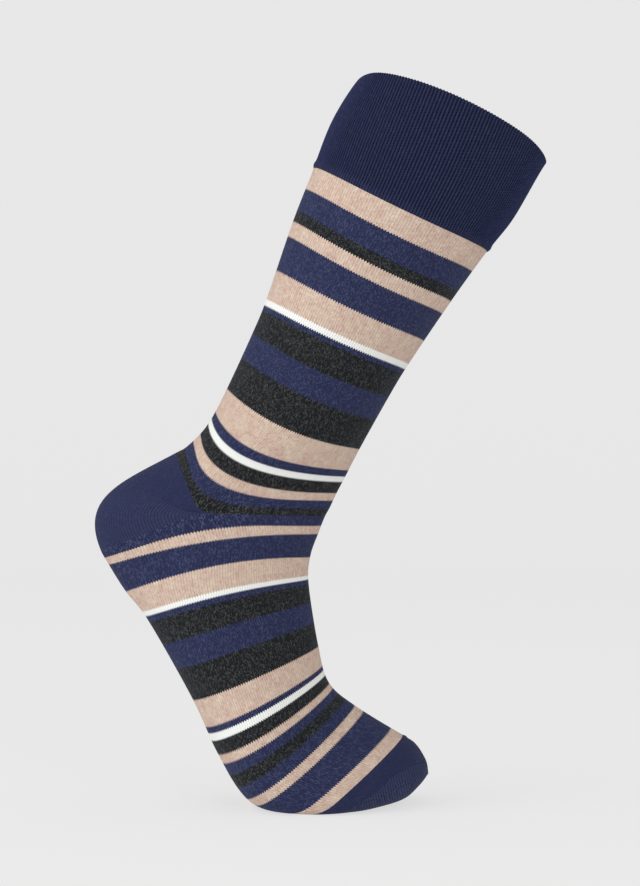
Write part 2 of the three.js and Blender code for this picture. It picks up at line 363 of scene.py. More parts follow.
# %% [markdown]
# ## Wales and courses
#
# A wale is a column of stitches, a course is a row of them. A sock machine has one needle for each wale,
# so their number is the same from the cuff to the toe, and the cloth stretches over the calf and the
# ball. We space the wales evenly along each course, with a quarter of them from the front to the gore at
# each side, because the heel pocket is knitted on just half of the needles. Each corner of the mesh
# remembers its wale and course numbers in a UV map, and the stitches are drawn from it.

# %% Even wales
WALES = 180
HALF = WALES // 2
QUARTER = WALES // 4
COURSE_MM = 1.1
TO_GORES = 5


def gore_angle_at(surface, place):
    """Where the middle wale of a side lies: it moves from the side point to the gore."""
    if surface is leg_points:
        share = min(max((place - TO_GORES) / TO_GORES, 0), 1)
    else:
        share = min(max((TO_GORES - place) / (TO_GORES - FOOT_START), 0), 1)
    return math.radians(90) + (GORE_ANGLE - math.radians(90)) * share


def even_angles(surface, place, wales):
    """The angles at which the given wale numbers cross a course."""
    dense = np.linspace(0, math.pi, 721)
    points = surface(place, dense)
    length = np.concatenate([[0], np.cumsum(np.linalg.norm(np.diff(points, axis=0), axis=1))])
    at_gore = np.interp(gore_angle_at(surface, place), dense, length)
    front_pitch = at_gore / QUARTER
    back_pitch = (length[-1] - at_gore) / QUARTER
    side_pitch = 2 * front_pitch * back_pitch / (front_pitch + back_pitch)
    mirrored = np.where(wales > HALF, WALES - wales, wales)
    in_front = mirrored <= QUARTER
    part = np.where(in_front, mirrored, HALF - mirrored) / QUARTER
    pitch = np.where(in_front, front_pitch, back_pitch)
    end_pitch = (3 * pitch - side_pitch) / 2
    run = QUARTER * (
        end_pitch * (part**3 - 2 * part**2 + part)
        + side_pitch * (part**3 - part**2)
        + pitch * (3 * part**2 - 2 * part**3)
    )
    along = np.where(in_front, run, length[-1] - run)
    angles = np.interp(along, length, dense)
    return np.where(wales > HALF, 2 * math.pi - angles, angles)


calf_wales = even_angles(leg_points, 4, np.array([20, 21]))
print("a wale at the calf turns", round(float(np.diff(calf_wales)[0]), 3), "rad")

# %% [markdown]
# ## From rings of points to cloth
#
# Every zone is a closed shell: rings of points go down its outside and back up its inside. Beside the
# wale and course numbers, each point carries how far its stitches are pulled open: there the shade
# painted into the gaps is deeper, the pockets' crests get a painted highlight, and more of the pale
# thread behind shows.

# %% Cloth from rings
MERGE_MM = 0.002
SHARP_FOLD = math.radians(50)


def cloth(name, rings, knit, stretch, closed_round=True, skip=None, turned=None):
    """A closed shell from rings of points. knit gives the wale and course number of each point, with one
    more column on a closed ring. turned gives the faces that use other numbers, and those numbers.
    No faces go down from the ring skip. Points that meet at a pole or a fold are merged."""
    count, columns, _ = rings.shape
    last = columns if closed_round else columns - 1
    upper = np.arange(count)
    upper = upper[upper != skip]
    lower = (upper + 1) % count
    left = np.arange(last)
    right = (left + 1) % columns
    corner_rings = (upper, upper, lower, lower)
    corner_columns = (left, right, right, left)
    uv_columns = (left, left + 1, left + 1, left)
    around_faces = zip(corner_rings, corner_columns)
    faces = np.stack([(r[:, None] * columns + c[None, :]).ravel() for r, c in around_faces], axis=1)

    def corners(numbers):
        around_corners = zip(corner_rings, uv_columns)
        chosen = [numbers[r[:, None], c[None, :]].reshape(-1, 2) for r, c in around_corners]
        return np.stack(chosen, axis=1)

    uv = corners(knit)
    if turned is not None:
        where, numbers = turned
        uv = np.where(where[upper].reshape(-1, 1, 1), corners(numbers), uv)
    mesh = bpy.data.meshes.new(name)
    mesh.from_pydata(((rings - ORIGIN) * MM).reshape(-1, 3).tolist(), [], faces.tolist())
    layer = mesh.uv_layers.new(name="knit")
    layer.data.foreach_set("uv", uv.astype(np.float32).ravel())
    pulled = mesh.attributes.new("stretch", "FLOAT", "POINT")
    pulled.data.foreach_set("value", stretch.astype(np.float32).ravel())
    shell = bmesh.new()
    shell.from_mesh(mesh)
    bmesh.ops.remove_doubles(shell, verts=shell.verts, dist=MERGE_MM * MM)
    shell.to_mesh(mesh)
    shell.free()
    piece = bpy.data.objects.new(name, mesh)
    bpy.context.collection.objects.link(piece)
    bpy.ops.object.select_all(action="DESELECT")
    bpy.context.view_layer.objects.active = piece
    piece.select_set(True)
    bpy.ops.object.shade_smooth_by_angle(angle=SHARP_FOLD)
    triangles = sum(len(face.vertices) - 2 for face in mesh.polygons)
    print(name, "has", triangles, "triangles")
    return piece


# %% Two skins of a zone
SEAM_TUCK_MM = 0.3
# side x and z of the gore tip, and how far the pulled stitches reach from it: to the front, back and up
GORE_TIP = (-67.5, 166)
PULL_REACH_MM = (34, 9, 8)


def pulled_open(points):
    """How far stitches are pulled open, most beside the gore tips, where the cloth turns the heel."""
    ahead = points[..., 0] - GORE_TIP[0]
    above = points[..., 2] - GORE_TIP[1]
    reach = np.where(ahead > 0, PULL_REACH_MM[0], PULL_REACH_MM[1])
    return np.exp(-((ahead / reach) ** 2) - (above / PULL_REACH_MM[2]) ** 2)


def skins(surface, places, wales, thickness, lift=None, last_tuck=-SEAM_TUCK_MM):
    """Rings of the outside and the inside of a tube. The inside stops short of each seam."""
    outer, inner = [], []
    for index, place in enumerate(places):
        angles = even_angles(surface, place, wales)
        points = surface(place, angles)
        normal = outward(surface, place, angles)
        raised = crease_height(points)
        if lift is not None:
            raised = raised + lift(place, angles)
        points = points + normal * raised[:, None]
        tuck = {0: SEAM_TUCK_MM, len(places) - 1: last_tuck}.get(index, 0)
        outer.append(points)
        inner.append(points - normal * thickness + down_the_sock(surface, place, angles) * tuck)
    return np.array(outer), np.array(inner)


def there_and_back(outer, inner):
    """The rings down the outside and then up the inside, as one list."""
    return np.concatenate([outer, inner[::-1]])


def knit_numbers(wales, courses):
    """The wale and course number of every corner of a closed ring."""
    return np.stack(np.meshgrid(np.append(wales, WALES), courses), axis=-1)


# %% [markdown]
# ## Stripes
#
# Each stripe is a whole number of courses in one yarn, about 1.1 mm to a course where the cloth is
# stretched over the leg. The table gives the yarn, the place on the rows where the stripe ends, and its
# courses. Working in whole courses makes every edge of a stripe run along real stitches.

# %% Stripes of the leg and the foot
LEG_STRIPES = [
    ("sand", 2.43, 12),
    ("navy", 2.82, 12),
    ("black", 3.0, 7),
    ("sand", 3.2, 6),
    ("navy", 3.6, 18),
    ("sand", 4.0, 15),
    ("white", 4.1, 3),
    ("navy", 4.24, 3),
    ("black", 5.0, 15),
    ("navy", 5.44, 15),
    ("black", 6.0, 19),
    ("sand", 6.69, 15),
    ("navy", 7.0, 5),
    ("white", 7.25, 4),
    ("black", 8.0, 7),
    ("sand", 8.42, 5),
    ("navy", 9.0, 6),
    ("black", 10.0, 6),
]
FOOT_STRIPES = [
    ("navy", 1.56, 5),
    ("sand", 2.0, 6),
    ("navy", 3.0, 12),
    ("sand", 3.79, 13),
    ("white", 3.89, 3),
    ("navy", 4.0, 3),
    ("black", 4.32, 13),
    ("navy", 4.615, 12),
    ("black", 5.0, 16),
    ("sand", 5.46, 13),
    ("navy", 5.58, 3),
    ("white", 5.74, 4),
    ("black", 6.0, 7),
    ("sand", 6.19, 4),
    ("navy", 6.43, 5),
    ("black", 6.72, 7),
    ("navy", 7.0, 6),
    ("sand", 7.19, 5),
    ("navy", 7.69, 14),
    ("sand", 8.0, 8),
]
print("stripes:", len(LEG_STRIPES), "on the leg and", len(FOOT_STRIPES), "on the foot")

# %% Rings along a striped tube
COURSES_PER_RING = 2


def rings_of_stripes(stripes, start):
    """The places of the rings, with one at each edge of a stripe, and their course numbers."""
    places, courses = [float(start)], [0.0]
    for _, end, count in stripes:
        pieces = max(2, round(count / COURSES_PER_RING))
        first_place, first_course = places[-1], courses[-1]
        for i in range(1, pieces + 1):
            places.append(first_place + (end - first_place) * i / pieces)
            courses.append(first_course + count * i / pieces)
    return places, courses


print("rings on the leg:", len(rings_of_stripes(LEG_STRIPES, CUFF_END)[0]))

# %% [markdown]
# ## Leg and foot
#
# Both are plain jersey tubes, 1.4 mm thick as the eye sees it. The outside follows the solids' outside
# and the inside lies one thickness deeper. Two columns of faces to a wale keep the outline smooth. The
# first stripe of the foot hangs from the heel pocket, and its stitches are pulled open there too.

# %% Leg and foot shells
CLOTH_MM = {"cuff": 2.0, "leg": 1.4, "heel": 1.6, "foot": 1.4, "toe": 1.6}
WALE_STEPS = np.arange(0, WALES, 0.5)
UNDER_HEEL_PULL = 0.45


def striped_tube(name, surface, stripes, start):
    places, courses = rings_of_stripes(stripes, start)
    outer, inner = skins(surface, places, WALE_STEPS, CLOTH_MM[name])
    pull = pulled_open(outer)
    if name == "foot":
        under_heel = np.array(places) < stripes[0][1]
        behind = np.abs(WALE_STEPS - HALF) < QUARTER
        pull = np.maximum(pull, UNDER_HEEL_PULL * under_heel[:, None] * behind[None, :])
    knit = knit_numbers(WALE_STEPS, courses)
    return cloth(
        f"{name}_cloth",
        there_and_back(outer, inner),
        there_and_back(knit, knit),
        there_and_back(pull, pull),
    )


leg = striped_tube("leg", leg_points, LEG_STRIPES, CUFF_END)
foot = striped_tube("foot", foot_points, FOOT_STRIPES, FOOT_START)

# %% [markdown]
# ## Cuff
#
# The cuff is a double welt: it is knitted twice as long and folded in on itself, so its edge is a round
# fold. Each needle makes one rib. The ribs are real here, four columns of faces to a rib, because they
# show in the outline of the mouth. They flatten over the last few millimetres before the leg, where the
# doubled cloth puffs out a little over its seam.

# %% Cuff shell
RIB_DEPTH_MM = 0.7
RIB_COLUMNS = np.arange(0, WALES, 0.25)
RIB_FADE = 0.16
CUFF_RINGS = 44
CUFF_COURSES = 44
FOLD_RINGS = 6
INSIDE_RINGS = 14
MOUTH_DROP_MM = 4
MOUTH_DROP_SHARPNESS = 10
WELT_PUFF_MM = 0.9
WELT_PUFF_PLACE = 0.07
WELT_PUFF_WIDTH = 0.06


def cuff_points(place, angles):
    """The cuff's outside, whose edge falls away close to its front and back folds."""
    points = leg_points(place, angles)
    near_mouth = max(0, 1 - place)
    points[..., 2] -= MOUTH_DROP_MM * near_mouth**2 * np.abs(np.cos(angles)) ** MOUTH_DROP_SHARPNESS
    return points


def rib_lift(place, wales):
    """How far a rib stands out: it fades before the seam, where the welt puffs out a little instead."""
    to_seam = CUFF_END - place
    fade = min(to_seam / RIB_FADE, 1)
    puff = WELT_PUFF_MM * math.exp(-(((to_seam - WELT_PUFF_PLACE) / WELT_PUFF_WIDTH) ** 2))
    return -RIB_DEPTH_MM / 2 * fade * np.cos(2 * math.pi * wales) + puff


def cuff_shell():
    thick = CLOTH_MM["cuff"]
    rings, courses = [], []
    outside = np.linspace(CUFF_END, 0, CUFF_RINGS)
    inside = np.linspace(0, CUFF_END, INSIDE_RINGS)
    for place in outside[:-1]:
        angles = even_angles(leg_points, place, RIB_COLUMNS)
        normal = outward(cuff_points, place, angles)
        lift = rib_lift(place, RIB_COLUMNS)[:, None]
        rings.append(cuff_points(place, angles) + normal * lift)
        courses.append(place / CUFF_END * CUFF_COURSES)
    angles = even_angles(leg_points, 0, RIB_COLUMNS)
    normal = outward(cuff_points, STEP, angles)
    down = down_the_sock(cuff_points, STEP, angles)
    lift = rib_lift(0, RIB_COLUMNS)[:, None]
    middle = cuff_points(0, angles) - normal * thick / 2 + down * thick / 2
    for bend in np.linspace(0, math.pi, FOLD_RINGS):
        radius = thick / 2 + lift * max(math.cos(bend / 2), 0)
        rings.append(middle + normal * radius * math.cos(bend) - down * radius * math.sin(bend))
        courses.append(-bend)
    for index, place in enumerate(inside[1:], start=1):
        angles = even_angles(leg_points, place, RIB_COLUMNS)
        tuck = -SEAM_TUCK_MM if index == INSIDE_RINGS - 1 else 0
        points = cuff_points(place, angles) - outward(cuff_points, place, angles) * thick
        rings.append(points + down_the_sock(cuff_points, place, angles) * tuck)
        courses.append(-math.pi - place / CUFF_END * CUFF_COURSES)
    rings = np.array(rings)[::-1]
    knit = knit_numbers(RIB_COLUMNS, courses)[::-1]
    return cloth("cuff_cloth", rings, knit, np.zeros(rings.shape[:2]))


cuff = cuff_shell()

# %% [markdown]
# ## Heel pocket
#
# The heel is knitted back and forth on half of the needles: every course is shorter than the last until
# the gore line, and then they grow again. So the courses lie along the leg above the line and along the
# foot below it, and the line itself is a shallow groove. The pocket is a fan of smooth curves from the
# leg's last course to the foot's first one. The lower half is pulled down over the heel, so its wales
# stand apart as fine upright furrows.

# %% Form of the heel
HEEL_BULGE = {"above": 0.5, "below": 0.47}
# angle round the sock in degrees, and how far down the pocket the gore line lies there
GORE_LINE = [(81, 0.45), (95, 0.41), (110, 0.37), (130, 0.335), (145, 0.4), (160, 0.53), (180, 0.66)]


def heel_points(turn, angles):
    """A course of the pocket: turn 0 is the leg's last course and turn 1 the foot's first."""
    turn = np.asarray(turn)[..., None]
    top = leg_points(LEG_END, angles)
    bottom = foot_points(FOOT_START, angles)
    opening = np.linalg.norm(top - bottom, axis=-1, keepdims=True)
    upper = top + down_the_sock(leg_points, LEG_END, angles) * HEEL_BULGE["above"] * opening
    lower = bottom - down_the_sock(foot_points, FOOT_START, angles) * HEEL_BULGE["below"] * opening
    left = 1 - turn
    return left**3 * top + 3 * left**2 * turn * upper + 3 * left * turn**2 * lower + turn**3 * bottom


def gore_turn(angles):
    """How far down the pocket the gore line crosses each wale."""
    degrees = np.degrees(np.minimum(angles, 2 * math.pi - angles))
    return np.interp(degrees, *zip(*GORE_LINE))


print("gore line at the back of the heel:", gore_turn(np.array([math.pi])))

# %% Heel shell
HEEL_HALF_RINGS = 22
HEEL_LOWER_COURSES = 100
HEEL_END_MARGIN = 0.03
GORE_GROOVE_MM = 0.4
# The groove and the pull grow from the back of the heel to its sides
SIDE_RISE = 2
SIDE_START = 0.4
# How far the lower half's stitches are pulled open, which deepens the painted shade in their gaps
HEEL_PULL = 0.5
HEEL_BACK_PULL = 0.15


def heel_shell():
    thick = CLOTH_MM["heel"]
    wales = np.arange(QUARTER, WALES - QUARTER + 0.25, 0.5)
    from_leg = even_angles(leg_points, LEG_END, wales)
    from_foot = even_angles(foot_points, FOOT_START, wales)
    at_gore = gore_turn((from_leg + from_foot) / 2)
    to_side = np.clip(np.abs(wales - HALF) / QUARTER * SIDE_RISE - SIDE_START, 0, 1)
    ends = np.array([GORE_ANGLE, 2 * math.pi - GORE_ANGLE])
    tips = leg_points(LEG_END, ends)
    tip_normals = outward(leg_points, LEG_END, ends)
    shares = np.linspace(0, 1, HEEL_HALF_RINGS + 1)
    turns = [share * at_gore for share in shares]
    turns += [at_gore + share * (1 - at_gore) for share in shares]
    from_groove = np.concatenate([HEEL_HALF_RINGS * (1 - shares), HEEL_HALF_RINGS * shares])
    outer, inner, pull = [], [], []
    for index, turn in enumerate(turns):
        part = turn[:, None]
        angles = from_leg * (1 - turn) + from_foot * turn
        within = np.clip(turn, HEEL_END_MARGIN, 1 - HEEL_END_MARGIN)
        normal = outward(heel_points, within, angles)
        points = heel_points(turn, angles)
        groove = GORE_GROOVE_MM * math.exp(-(from_groove[index] ** 2)) * to_side
        points = points + normal * (crease_height(points) - groove)[:, None]
        tuck = {0: SEAM_TUCK_MM, len(turns) - 1: -SEAM_TUCK_MM}.get(index, 0)
        inside = points - normal * thick + down_the_sock(heel_points, within, angles) * tuck
        points[[0, -1]] = tips
        inside[[0, -1]] = tips - tip_normals * thick
        outer.append(points)
        inner.append(inside)
        lower_half = index > HEEL_HALF_RINGS
        pull.append(lower_half * (HEEL_BACK_PULL + (HEEL_PULL - HEEL_BACK_PULL) * to_side))
    outer, inner, pull = np.array(outer), np.array(inner), np.array(pull)
    steps = np.linalg.norm(np.diff(outer, axis=0), axis=-1)
    run = np.concatenate([np.zeros((1, len(wales))), np.cumsum(steps, axis=0)]) / COURSE_MM
    courses = run.copy()
    below = slice(HEEL_HALF_RINGS + 1, None)
    courses[below] = HEEL_LOWER_COURSES - (run[-1] - run[below])
    knit = np.stack([np.broadcast_to(wales, courses.shape), courses], axis=-1)
    return cloth(
        "heel_cloth",
        there_and_back(outer, inner),
        there_and_back(knit, knit),
        there_and_back(pull, pull),
        closed_round=False,
    )


heel = heel_shell()

# %% [markdown]
# ## Toe pocket
#
# The toe closes the tube. It is knitted like the heel, and then linked to the instep with one row of
# stitches over the toes, which shows as a thin ridge. From each side's gore tip a gore line curves
# forward over the toes. Below it the wales stand upright, so there the knit numbers are counted along
# the foot and down its side, and not along the courses of the instep.

# %% Toe shell
TOE_LAST = 12.5
TOE_RINGS = 64
WALE_MM = 1.5
WALE_LEAN = 0.2
# How far the stitches below the gore line are pulled open, which deepens the painted shade in their gaps
# and brings out a painted highlight on their crests
TOE_PULL = 0.8
TOE_SMOOTH_FROM_MM = 57
TOE_SMOOTH_OVER_MM = 9
LINK_RIDGE_MM = 0.55
LINK_PLACE = 0.13
LINK_WIDTH = 0.08
TOE_GROOVE_MM = 0.35
TOE_GROOVE_WIDTH = math.radians(2.5)
RIDGE_END_STEEPNESS = 3
# place on the rows, and the angle in degrees at which the gore line crosses that course
TOE_GORE_LINE = [
    (8.0, 180), (8.45, 125), (8.72, 104), (8.88, 97), (9.02, 89),
    (9.15, 73), (9.5, 63), (10.0, 52), (10.7, 40), (12.5, 20),
]


def toe_gore_angle(place):
    return np.radians(np.interp(place, *zip(*TOE_GORE_LINE)))


def toe_lift(place, angles):
    """The ridge of the linked seam over the toes, and the groove of the gore line at each side."""
    over_the_toes = np.clip(np.cos(angles) * RIDGE_END_STEEPNESS, 0, 1)
    ridge = LINK_RIDGE_MM * math.exp(-(((place - TOE_START - LINK_PLACE) / LINK_WIDTH) ** 2))
    from_front = np.minimum(angles, 2 * math.pi - angles)
    from_line = (from_front - toe_gore_angle(place)) / TOE_GROOVE_WIDTH
    return ridge * over_the_toes - TOE_GROOVE_MM * np.exp(-(from_line**2))


def toe_shell():
    thick = CLOTH_MM["toe"]
    places = np.linspace(TOE_START, TOE_LAST, TOE_RINGS)
    outer, inner = skins(foot_points, places, WALE_STEPS, thick, lift=toe_lift, last_tuck=0)
    outer = np.concatenate([outer, np.broadcast_to(TOE_TIP, (1, *outer.shape[1:]))])
    inner = np.concatenate([inner, np.broadcast_to(TOE_TIP - (thick, 0, 0), (1, *inner.shape[1:]))])
    steps = np.linalg.norm(np.diff(outer, axis=0), axis=-1).mean(axis=1)
    courses = np.concatenate([[0], np.cumsum(steps)]) / COURSE_MM
    knit = knit_numbers(WALE_STEPS, courses)
    angles = np.array([even_angles(foot_points, place, WALE_STEPS) for place in places])
    from_front = np.minimum(angles, 2 * math.pi - angles)
    below_line = from_front > toe_gore_angle(places)[:, None]
    below_line = np.concatenate([below_line, below_line[-1:]])
    closed = np.concatenate([outer, outer[:, :1]], axis=1)
    upright = (closed[..., 0] + WALE_LEAN * closed[..., 2]) / WALE_MM
    around = (np.abs(closed[..., 1] - TOE_TIP[1]) - closed[..., 2]) / COURSE_MM
    side_knit = np.stack([upright, around], axis=-1)
    to_tip = np.clip((TOE_SMOOTH_FROM_MM - outer[..., 0]) / TOE_SMOOTH_OVER_MM, 0, 1)
    pull = TOE_PULL * below_line * to_tip
    return cloth(
        "toe_cloth",
        there_and_back(outer, inner),
        there_and_back(knit, knit),
        there_and_back(pull, pull),
        skip=len(courses) - 1,
        turned=(there_and_back(below_line, below_line), there_and_back(side_knit, side_knit)),
    )


toe = toe_shell()

# %% [markdown]
# ## Stitches
#
# A jersey stitch is a V of two yarn legs. From the wale and course numbers we draw the two legs as
# rounded ridges that slant towards the middle of the wale, with a deeper furrow between two wales. The
# slant also gives the stripes their toothed edges, as the colour changes from one stitch to the next and
# not along a straight line. The pattern is about as fine as the picture can show.

# %% Stitch pattern
SLANT = 0.9
FURROW_SHARE = 0.55
LOOP_SHARE = 0.45
FULL_HEIGHT = 0.8


def stitches(tree):
    """Sockets for the wale number, the slanted course number and the height of the yarn."""
    knit = node(tree, "ShaderNodeUVMap", uv_map="knit")
    split = node(tree, "ShaderNodeSeparateXYZ", {"Vector": knit})
    wale, course = split.outputs["X"], split.outputs["Y"]
    tooth = node(tree, "ShaderNodeMath", {0: wale, 1: 0.5}, operation="PINGPONG")
    rising = node(tree, "ShaderNodeMath", {0: tooth, 1: 2 * SLANT, 2: course}, operation="MULTIPLY_ADD")
    slanted = node(tree, "ShaderNodeMath", {0: rising, 1: SLANT / 2}, operation="SUBTRACT")
    across = node(tree, "ShaderNodeMath", {0: wale, 1: math.pi}, operation="MULTIPLY")
    swell = node(tree, "ShaderNodeMath", {0: across}, operation="SINE")
    rib = node(tree, "ShaderNodeMath", {0: swell}, operation="ABSOLUTE")
    twice = node(tree, "ShaderNodeMath", {0: across, 1: 2}, operation="MULTIPLY")
    legs_wave = node(tree, "ShaderNodeMath", {0: twice}, operation="SINE")
    legs = node(tree, "ShaderNodeMath", {0: legs_wave}, operation="ABSOLUTE")
    some_legs = node(tree, "ShaderNodeMath", {0: legs, 1: 1 - FURROW_SHARE}, operation="MULTIPLY")
    both = node(
        tree, "ShaderNodeMath", {0: rib, 1: FURROW_SHARE, 2: some_legs}, operation="MULTIPLY_ADD"
    )
    along = node(tree, "ShaderNodeMath", {0: slanted, 1: math.pi}, operation="MULTIPLY")
    loop_wave = node(tree, "ShaderNodeMath", {0: along}, operation="SINE")
    loops = node(tree, "ShaderNodeMath", {0: loop_wave}, operation="ABSOLUTE")
    loop_part = node(
        tree, "ShaderNodeMath", {0: loops, 1: LOOP_SHARE, 2: 1 - LOOP_SHARE}, operation="MULTIPLY_ADD"
    )
    height = node(tree, "ShaderNodeMath", {0: both, 1: loop_part}, operation="MULTIPLY")
    return wale, slanted.outputs[0], height.outputs[0]


def stitch_cells(tree, wale, course):
    """Two cells for each leg of a stitch, and a chance between 0 and 1 that belongs to each."""
    legs = node(tree, "ShaderNodeMath", {0: wale, 1: 2}, operation="MULTIPLY")
    leg_number = node(tree, "ShaderNodeMath", {0: legs}, operation="FLOOR")
    halves = node(tree, "ShaderNodeMath", {0: course, 1: 2}, operation="MULTIPLY")
    course_number = node(tree, "ShaderNodeMath", {0: halves}, operation="FLOOR")
    cell = node(tree, "ShaderNodeCombineXYZ", {"X": leg_number, "Y": course_number})
    chance = node(tree, "ShaderNodeTexWhiteNoise", {"Vector": cell}, noise_dimensions="3D")
    return cell, chance.outputs["Value"]


# %% [markdown]
# ## Yarns
#
# The sock is combed cotton with a little polyamide behind it. Cotton scatters light and has no gloss, and
# its short loose fibres catch the light at the edges as a faint sheen. The sand yarn is a melange: its
# fibres were dyed in several tones before they were spun, so it is flecked with rose and cream. In the
# dark stripes the pale polyamide glints through, most where the stitches are pulled open.

# %% Yarn colours
YARN = {
    "navy": "#272c4a",
    "black": "#1c1d1f",
    "sand": "#ccb4a3",
    "white": "#e9eae6",
}
GLINT = {"navy": "#7c83aa", "black": "#8d918f"}
MELANGE = [(0.36, "#b9978b"), (0.56, "#c4ab9c"), (0.74, "#cbb6a5"), (0.95, "#d6c7b4")]
# Patches of one tone are about 5 mm wide, and a tone lasts for a few stitches along the yarn
BLOTCH_PER_M = 190
STITCHES_OF_A_TONE = (0.4, 0.4, 1)
STITCH_SHARE = 0.28
PATCH_SHARE = 0.5


def colour_ramp(tree, share, stops, interpolation):
    """A colour ramp node with the given places and linear colours."""
    ramp = node(tree, "ShaderNodeValToRGB", {"Fac": share})
    ramp.color_ramp.interpolation = interpolation
    for index, (position, colour) in enumerate(stops):
        if index < 2:
            stop = ramp.color_ramp.elements[index]
            stop.position = position
        else:
            stop = ramp.color_ramp.elements.new(position)
        stop.color = colour
    return ramp


def stripe_colours(tree, course, stripes, colours):
    """Looks up each stripe's colour from the course number."""
    total = sum(count for _, _, count in stripes)
    share = node(tree, "ShaderNodeMath", {0: course, 1: total}, operation="DIVIDE")
    starts = np.cumsum([0] + [count for _, _, count in stripes[:-1]])
    stops = [(start / total, colours[yarn]) for start, (yarn, _, _) in zip(starts, stripes)]
    return colour_ramp(tree, share, stops, "CONSTANT")


def melange(tree, cell, chance):
    """Sand yarn from rose to cream: it changes from stitch to stitch, and softly over patches."""
    fibres = node(
        tree, "ShaderNodeVectorMath", {0: cell, 1: STITCHES_OF_A_TONE}, operation="MULTIPLY"
    )
    streak = node(tree, "ShaderNodeTexNoise", {"Vector": fibres, "Scale": 1.0, "Detail": 2.0})
    place = node(tree, "ShaderNodeTexCoord")
    patch = node(
        tree,
        "ShaderNodeTexNoise",
        {"Vector": place.outputs["Object"], "Scale": BLOTCH_PER_M, "Detail": 1.0},
    )
    tone = node(tree, "ShaderNodeMath", {0: chance, 1: STITCH_SHARE, 2: streak}, operation="MULTIPLY_ADD")
    mixed = node(tree, "ShaderNodeMath", {0: patch, 1: PATCH_SHARE, 2: tone}, operation="MULTIPLY_ADD")
    centred = node(tree, "ShaderNodeMath", {0: mixed, 1: PATCH_SHARE / 2}, operation="SUBTRACT")
    return colour_ramp(tree, centred, [(at, from_hex(fibre)) for at, fibre in MELANGE], "LINEAR")


# %% [markdown]
# ## From yarn to cloth
#
# The same few steps finish every knit here. Shade is painted into the gaps between the stitches, so they
# are darker than the yarn, and darker still where they are pulled open. The stitches are raised by a
# bump. The cloth is rough, with hardly any gloss and a faint sheen.

# %% Shared steps of the knits
BUMP_MM = 0.35
BUMP_STRENGTH = 0.6
CREST_SHADE = 1.05
GLINT_CHANCE = 0.6
FIBRE_SHEEN = "#c3cfff"


def pull_of(tree):
    return node(tree, "ShaderNodeAttribute", attribute_name="stretch").outputs["Fac"]


def with_glints(tree, colour, chance, amount, glint):
    """Mixes the pale polyamide into some of the stitches."""
    some = node(
        tree, "ShaderNodeMapRange", {"Value": chance, "From Min": GLINT_CHANCE, "To Max": amount}
    )
    mixed = node(
        tree, "ShaderNodeMix", {"Factor": some, 6: colour, 7: from_hex(glint)}, data_type="RGBA"
    )
    return mixed.outputs[2]


def knitted_cotton(tree, colour, height, gap_shade, pulled_gap_shade):
    """Paints shade into the gaps between the stitches, raises the stitches and gives the cloth its
    finish.
    """
    # The yarn's colour is scaled down in the gaps as painted shade, deeper where the stitches are pulled
    # open
    fall = pulled_gap_shade - gap_shade
    low = node(tree, "ShaderNodeMath", {0: pull_of(tree), 1: fall, 2: gap_shade}, operation="MULTIPLY_ADD")
    shade = node(
        tree,
        "ShaderNodeMapRange",
        {"Value": height, "From Max": FULL_HEIGHT, "To Min": low, "To Max": CREST_SHADE},
    )
    shaded = node(tree, "ShaderNodeVectorMath", {0: colour, "Scale": shade}, operation="SCALE")
    bump = node(
        tree, "ShaderNodeBump", {"Height": height, "Distance": BUMP_MM * MM, "Strength": BUMP_STRENGTH}
    )
    cotton = node(
        tree,
        "ShaderNodeBsdfPrincipled",
        {
            "Base Color": shaded,
            "Roughness": 0.9,
            "Specular IOR Level": 0.1,
            "Sheen Weight": 0.035,
            "Sheen Roughness": 0.4,
            "Sheen Tint": from_hex(FIBRE_SHEEN),
            "Normal": bump,
        },
    )
    node(tree, "ShaderNodeOutputMaterial", {"Surface": cotton})


# %% Jersey material
# Which stripes are melange, which show glints on navy and which on black, as red, green and blue
KINDS = {"sand": (1, 0, 0, 1), "navy": (0, 1, 0, 1), "black": (0, 0, 1, 1), "white": (0, 0, 0, 1)}
# Painted shade in the gaps between the stitches, as a share of the yarn's colour, plain and where pulled
# open
JERSEY_GAP_SHADE = 0.7
JERSEY_PULLED_GAP_SHADE = 0.4
PLAIN_GLINT = 0.2
PULLED_GLINT = 0.2


def jersey(name, stripes):
    """Cotton jersey, knitted round, in the given stripes."""
    material, tree = empty_material(name)
    wale, course, height = stitches(tree)
    cell, chance = stitch_cells(tree, wale, course)
    plain = stripe_colours(tree, course, stripes, {yarn: from_hex(tone) for yarn, tone in YARN.items()})
    kinds = stripe_colours(tree, course, stripes, KINDS)
    kind = node(tree, "ShaderNodeSeparateColor", {"Color": kinds})
    colour = node(
        tree,
        "ShaderNodeMix",
        {"Factor": kind.outputs["Red"], 6: plain, 7: melange(tree, cell, chance)},
        data_type="RGBA",
    ).outputs[2]
    amount = node(
        tree,
        "ShaderNodeMath",
        {0: pull_of(tree), 1: PULLED_GLINT, 2: PLAIN_GLINT},
        operation="MULTIPLY_ADD",
    )
    for channel, yarn in (("Green", "navy"), ("Blue", "black")):
        there = node(tree, "ShaderNodeMath", {0: amount, 1: kind.outputs[channel]}, operation="MULTIPLY")
        colour = with_glints(tree, colour, chance, there, GLINT[yarn])
    knitted_cotton(tree, colour, height, JERSEY_GAP_SHADE, JERSEY_PULLED_GAP_SHADE)
    return material


leg.data.materials.append(jersey("cotton_jersey_leg", LEG_STRIPES))
foot.data.materials.append(jersey("cotton_jersey_foot", FOOT_STRIPES))
print("leg and foot are striped")

# %% [markdown]
# ## Navy rib and navy pockets
#
# The cuff, the heel and the toe are all knitted in the navy yarn. The rib has deep furrows, darkened with
# painted shade, with a row of small gaps in each. The pockets are knitted denser, so their stitches
# hardly show until they are pulled open, when their gaps get deeper painted shade and their crests a
# painted highlight.

